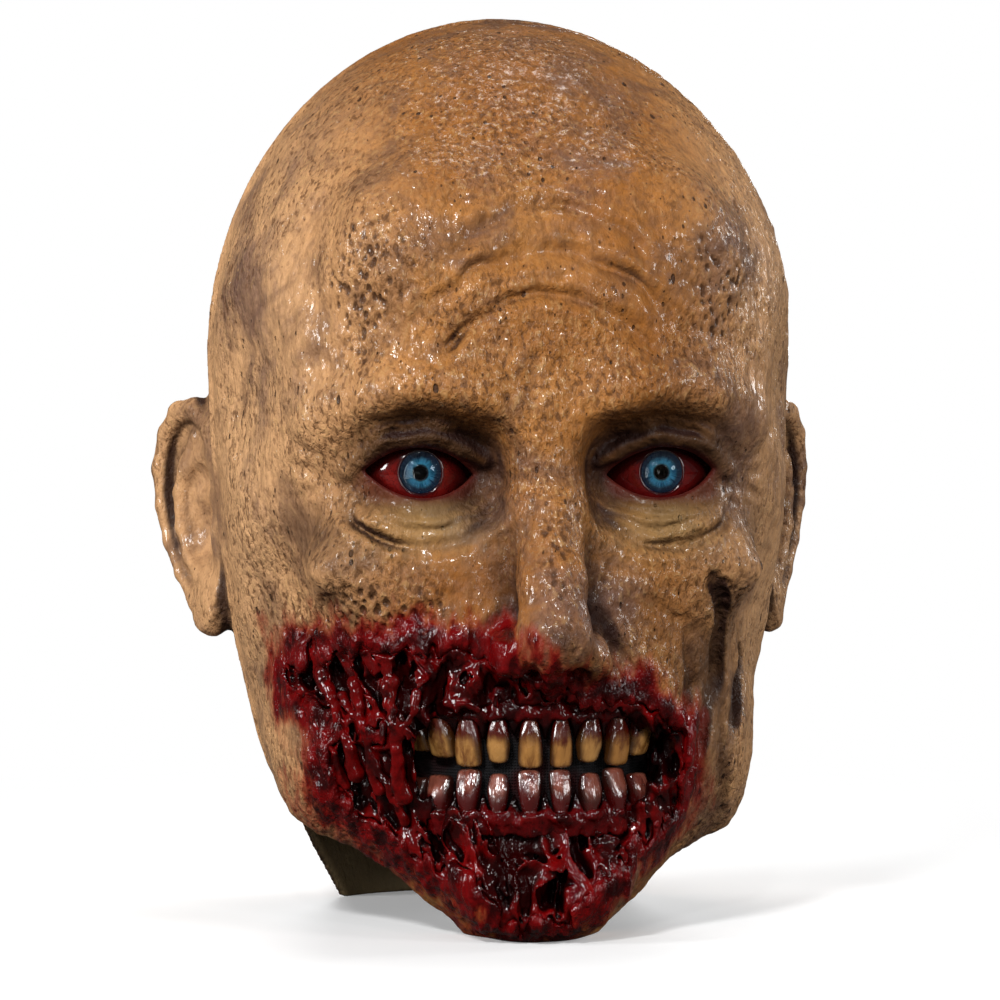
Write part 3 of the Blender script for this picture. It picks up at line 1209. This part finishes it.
def flesh_paint(name, ridge, dark, seed_scale=1.0):
    """Wet red latex: bright on what stands up, nearly black in the gaps."""
    p = Paint(name)
    open_share = p.value("open")
    raised = p.value("raised") if name == "wet_flesh_latex" else open_share
    mottle = p.noise(130 * seed_scale, 5, 0.65, distortion=0.5)
    red = p.mix(p.ramp(mottle, 0.35, 0.65), ridge, tuple(0.45 * c for c in ridge))
    red = p.mix(p.ramp(p.noise(55 * seed_scale, 4, 0.6), 0.56, 0.74, 0, 0.6), red, (0.20, 0.006, 0.005))
    red = p.mix(p.ramp(p.noise(85 * seed_scale, 4, 0.6), 0.50, 0.60, 0, 0.85), red, dark)
    red = p.mix(p.ramp(raised, 0.98, 0.48, 0, 0.96), red, dark)
    red = p.mix(p.ramp(open_share, 0.92, 0.48, 0, 0.98), red, (0.0035, 0.0003, 0.0004))
    rough = p.ramp(p.noise(210 * seed_scale, 3), 0.35, 0.65, 0.14, 0.34)
    normal = p.bump(p.noise(420 * seed_scale, 4, 0.6, stretch=(1, 1, 0.5)), 0.0007, 0.9)
    glints = p.bump(p.noise(380 * seed_scale, 2, 0.5), 0.0003, 0.9)
    return p.finish(Base_Color=red, Roughness=rough, Normal=normal, Specular_IOR_Level=0.04,
                    Coat_Weight=p.ramp(raised, 0.10, 0.80, 0.10, 0.48), Coat_Roughness=0.03, IOR=1.4,
                    Coat_Normal=glints)


def tooth_paint(name, pale, stain, blood):
    p = Paint(name)
    crown, shade, rim = p.value("crown"), p.value("shade"), p.value("rim")
    streaks = p.noise(210, 4, 0.6, stretch=(1.5, 1.5, 0.16), distortion=0.3)
    base = p.mix(shade, pale, tuple(c * f for c, f in zip(pale, (0.72, 0.62, 0.50))))
    base = p.mix(p.ramp(streaks, 0.44, 0.68, 0, 0.85), base, stain)
    base = p.mix(p.ramp(crown, 0.60, 0.22, 0, 0.90), base, tuple(0.6 * c for c in stain))
    side = p.plus(rim, p.times(p.noise(230, 3), 0.35))
    base = p.mix(p.ramp(side, 0.55, 1.10, 0, 0.95), base, tuple(0.30 * c for c in stain))
    wash = p.plus(p.noise(95, 4, 0.6), p.ramp(crown, 0.80, 0.10, -0.05, 0.24))
    wash = p.plus(wash, p.times(p.minus(streaks, 0.5), 0.55))
    base = p.mix(p.ramp(wash, *blood, 0, 0.92), base, (0.055, 0.0015, 0.0015))
    base = p.mix(p.ramp(crown, 0.93, 1.0, 0, 0.35), base, (0.05, 0.02, 0.01))
    rough = p.ramp(p.noise(160, 3), 0.35, 0.65, 0.12, 0.32)
    normal = p.bump(p.noise(260, 4, 0.6, stretch=(1.3, 1.3, 0.3)), 0.0006, 0.9)
    return p.finish(Base_Color=base, Roughness=rough, Normal=normal, IOR=1.5,
                    Coat_Weight=0.8, Coat_Roughness=0.07)


def eye_white_paint():
    p = Paint("bloodshot_acrylic")
    ring = p.value("ring")
    vein = p.noise(260, 5, 0.65, distortion=1.2)
    vein = p.math("ABSOLUTE", p.minus(vein, 0.5))
    base = p.mix(p.ramp(p.noise(70, 3), 0.35, 0.65), (0.170, 0.007, 0.005), (0.080, 0.003, 0.003))
    base = p.mix(p.ramp(vein, 0.035, 0.0, 0, 0.85), base, (0.040, 0.001, 0.001))
    base = p.mix(p.ramp(ring, 0.10, 0.70, 0, 0.9), base, (0.022, 0.001, 0.001))
    base = p.mix(p.ramp(ring, 0.12, 0.0, 0, 0.9), base, (0.012, 0.001, 0.002))
    up = p.plus(p.value("up"), p.times(p.noise(80, 3), 0.2))
    base = p.mix(p.ramp(up, 0.02, 0.42, 0, 0.93), base, (0.010, 0.001, 0.001))
    normal = p.bump(p.noise(300, 3), 0.00012, 0.6)
    return p.finish(Base_Color=base, Roughness=p.ramp(p.noise(90, 2), 0.3, 0.7, 0.08, 0.16), Normal=normal,
                    Specular_IOR_Level=0.15, Coat_Weight=0.8, Coat_Roughness=0.03)


def iris_paint():
    p = Paint("printed_iris")
    ring, east, north = p.value("ring"), p.value("east"), p.value("north")
    spread = p.node("CombineXYZ", p.times(east, 9.0), p.times(north, 9.0), p.times(ring, 1.6))
    thread = p.node("TexNoise", Vector=spread.outputs[0], Scale=1.4, Detail=4).outputs["Fac"]
    blue = p.mix(p.ramp(thread, 0.35, 0.66), (0.001, 0.014, 0.030), (0.005, 0.052, 0.092))
    blue = p.mix(p.ramp(ring, 0.60, 0.40, 0, 0.5), blue, (0.012, 0.090, 0.135))
    blue = p.mix(p.ramp(ring, 0.60, 0.82), blue, (0.001, 0.004, 0.010))
    blue = p.mix(p.ramp(ring, 0.47, 0.39), blue, (0.001, 0.002, 0.004))
    return p.finish(Base_Color=blue, Roughness=p.ramp(thread, 0.3, 0.7, 0.22, 0.4),
                    Normal=p.bump(thread, 0.0002, 0.6), Specular_IOR_Level=0.08)


def lens_paint():
    p = Paint("clear_acrylic")
    p.finish(Base_Color=(1.0, 1.0, 1.0), Roughness=0.02, IOR=1.22, Transmission_Weight=1.0,
             Normal=p.bump(p.noise(200, 2), 0.00002, 0.4))
    shadow = p.node("LightPath").outputs["Is Shadow Ray"]
    clear = p.node("BsdfTransparent").outputs[0]
    p.feed(p.output.inputs[0], p.blend(shadow, p.shader.outputs[0], clear))
    return p.material


def plastic_paint():
    p = Paint("moulded_black_plastic")
    grain = p.noise(500, 4, 0.6)
    colour = p.mix(p.ramp(grain, 0.35, 0.65), (0.018, 0.018, 0.019), (0.035, 0.034, 0.034))
    return p.finish(Base_Color=colour, Roughness=p.ramp(p.noise(300, 3), 0.3, 0.7, 0.35, 0.5),
                    Normal=p.bump(grain, 0.0001, 0.9))


def foam_paint():
    p = Paint("open_cell_foam")
    cells = p.cells(900)
    hollow = cells.outputs["Distance"]
    colour = p.mix(p.ramp(hollow, 0.15, 0.6), (0.020, 0.020, 0.022), (0.085, 0.085, 0.092))
    colour = p.mix(p.ramp(p.noise(25, 3), 0.4, 0.7, 0, 0.35), colour, (0.055, 0.05, 0.045))
    return p.finish(Base_Color=colour, Roughness=p.ramp(p.noise(70, 3), 0.3, 0.7, 0.85, 0.98),
                    Normal=p.bump(hollow, 0.0006, 1.0), Sheen_Weight=0.15)


def tape_paint():
    p = Paint("latex_soaked_cotton")
    weave = p.times(p.wave(900, "X"), p.wave(900, "Z"))
    colour = p.mix(p.ramp(weave, 0.1, 0.6), (0.42, 0.31, 0.17), (0.66, 0.54, 0.34))
    colour = p.mix(p.ramp(p.noise(45, 4), 0.5, 0.75, 0, 0.5), colour, (0.46, 0.33, 0.17))
    return p.finish(Base_Color=colour, Roughness=p.ramp(p.noise(60, 3), 0.3, 0.7, 0.55, 0.8),
                    Normal=p.bump(weave, 0.0004, 0.8))


def mesh_cloth_paint():
    """Black net: threads every 0.9 mm, with small openings between them."""
    p = Paint("black_net")
    flat = p.node("UVMap")
    flat.uv_map = "cloth"
    axes = p.node("SeparateXYZ", flat.outputs[0]).outputs
    pitch = 0.9 * MM
    threads = [p.math("COSINE", p.times(axes[i], 2 * math.pi / pitch)) for i in (0, 1)]
    solid = p.ramp(p.math("MAXIMUM", *threads), -0.80, -0.60, 0.75, 1.0)
    colour = p.mix(p.noise(300, 3), (0.006, 0.006, 0.007), (0.020, 0.019, 0.020))
    colour = p.mix(p.ramp(p.noise(45, 3), 0.42, 0.60, 0, 0.85), colour, (0.035, 0.0016, 0.0018))
    return p.finish(Base_Color=colour, Roughness=p.ramp(p.noise(200, 2), 0.3, 0.7, 0.6, 0.85), Alpha=solid,
                    Specular_IOR_Level=0.08,
                    Normal=p.bump(p.math("MAXIMUM", *threads), 0.0003, 0.8))


# ---- stage, light and camera ----

FRAME_HEIGHT = 0.320                # metres that the picture is high, at the head
CAMERA_AWAY = 1.6
CAMERA_AZIMUTH = math.radians(-8)
CAMERA_RISE = math.radians(1.5)
AIM = Vector((-0.001, 0.0, 0.1320))
LAMPS = (("key", (-0.75, -1.55, 1.20), 0.30, 27.5), ("fill", (1.25, -1.25, 0.55), 0.50, 10),
         ("low", (-0.15, -1.6, 0.07), 0.40, 2.6), ("glint_left", (-0.35, -1.7, 0.95), 0.10, 4),
         ("glint_right", (0.55, -1.7, 0.75), 0.10, 3), ("top", (0.1, 0.35, 1.6), 0.60, 7),
         ("rear", (0.3, 1.8, 0.30), 0.60, 10), ("side", (-1.6, -0.45, 0.5), 0.50, 18),
         ("side_right", (1.5, 0.4, 0.6), 0.50, 8))      # name, place, width in metres, watts


def area_light(name, where, size, power):
    data = bpy.data.lights.new(name, "AREA")
    data.shape, data.size, data.energy = "DISK", size, power
    lamp = bpy.data.objects.new(name, data)
    bpy.context.scene.collection.objects.link(lamp)
    lamp.location = where
    lamp.rotation_euler = (AIM - Vector(where)).to_track_quat("-Z", "Y").to_euler()


def make_floor():
    bpy.ops.mesh.primitive_circle_add(vertices=96, radius=9, fill_type="NGON")
    floor = bpy.context.object
    floor.name = "floor"
    p = Paint("pale_floor")
    speckle = p.noise(30, 3)
    p.finish(Base_Color=p.mix(speckle, (0.80, 0.80, 0.80), (0.84, 0.84, 0.84)), Roughness=0.7,
             Emission_Color=(1, 1, 1), Emission_Strength=0.20)
    away = p.node("VectorMath", p.where)
    away.operation = "LENGTH"
    seen = p.node("LightPath").outputs["Is Camera Ray"]
    fade = p.times(p.ramp(away.outputs["Value"], 0.10, 0.55), seen)
    pale = p.blend(fade, p.shader.outputs[0], p.node("Emission").outputs[0])
    # the mask itself sees a dark floor, so its hollows stay dark
    dim = p.node("BsdfDiffuse", Color=(0.10, 0.09, 0.085)).outputs[0]
    p.feed(p.output.inputs[0], p.blend(seen, dim, pale))
    floor.data.materials.append(p.material)


def light_studio():
    """A white backdrop that gives little light, and lamps."""
    world = bpy.data.worlds.new("studio")
    bpy.context.scene.world = world
    world.use_nodes = True
    nodes, links = world.node_tree.nodes, world.node_tree.links
    sky, backdrop = nodes["Background"], nodes.new("ShaderNodeBackground")
    for background, strength in ((sky, 0.07), (backdrop, 1.0)):
        background.inputs["Color"].default_value = (1, 1, 1, 1)
        background.inputs["Strength"].default_value = strength
    mix = nodes.new("ShaderNodeMixShader")
    links.new(nodes.new("ShaderNodeLightPath").outputs["Is Camera Ray"], mix.inputs[0])
    links.new(sky.outputs[0], mix.inputs[1])
    links.new(backdrop.outputs[0], mix.inputs[2])
    links.new(mix.outputs[0], nodes["World Output"].inputs["Surface"])
    for name, where, size, power in LAMPS:
        area_light(name, where, size, power)
    bpy.context.scene.view_settings.view_transform = "Standard"


def make_camera():
    data = bpy.data.cameras.new("camera")
    data.lens = data.sensor_width * CAMERA_AWAY / FRAME_HEIGHT
    data.clip_end = 60
    camera = bpy.data.objects.new("camera", data)
    bpy.context.scene.collection.objects.link(camera)
    level = math.cos(CAMERA_RISE)
    camera.location = AIM + CAMERA_AWAY * Vector((math.sin(CAMERA_AZIMUTH) * level,
                                                  -math.cos(CAMERA_AZIMUTH) * level,
                                                  math.sin(CAMERA_RISE)))
    camera.rotation_euler = (AIM - camera.location).to_track_quat("-Z", "Y").to_euler()
    bpy.context.scene.camera = camera


make_camera()
make_floor()
light_studio()
skin = skin_paint()
face_volume, face_hollow = sculpt_head(-128, SEAM_Y + 6, FACE_PITCH)
make_skin(face_volume, face_hollow, face_volume.y - SEAM_Y, "mask_face", "face_skin", skin)
rear_volume, rear_hollow = sculpt_head(SEAM_Y - 28, 128, REAR_PITCH)
make_skin(rear_volume, rear_hollow, SEAM_Y + SEAM_GAP - rear_volume.y, "mask_rear", "rear_skin", skin)
flesh = flesh_paint("wet_flesh_latex", (0.135, 0.0010, 0.0014), (0.010, 0.0002, 0.0003))
gum = flesh_paint("wet_gum_latex", (0.080, 0.0010, 0.0016), (0.012, 0.0003, 0.0005), 1.4)
make_flesh(face_volume, flesh)
make_strands(face_volume, flesh)
make_gums(gum)
make_teeth(tooth_paint("stained_upper_resin", (0.44, 0.225, 0.065), (0.120, 0.036, 0.007), (0.52, 0.80)),
           tooth_paint("stained_lower_resin", (0.210, 0.062, 0.042), (0.055, 0.009, 0.006), (0.42, 0.70)))
make_eyes(eye_white_paint(), iris_paint(), lens_paint(), plastic_paint())
hollows = (face_volume.like(face_hollow), rear_volume.like(rear_hollow))
make_pads(hollows, foam_paint())
make_tape(hollows, tape_paint())
make_net(mesh_cloth_paint())
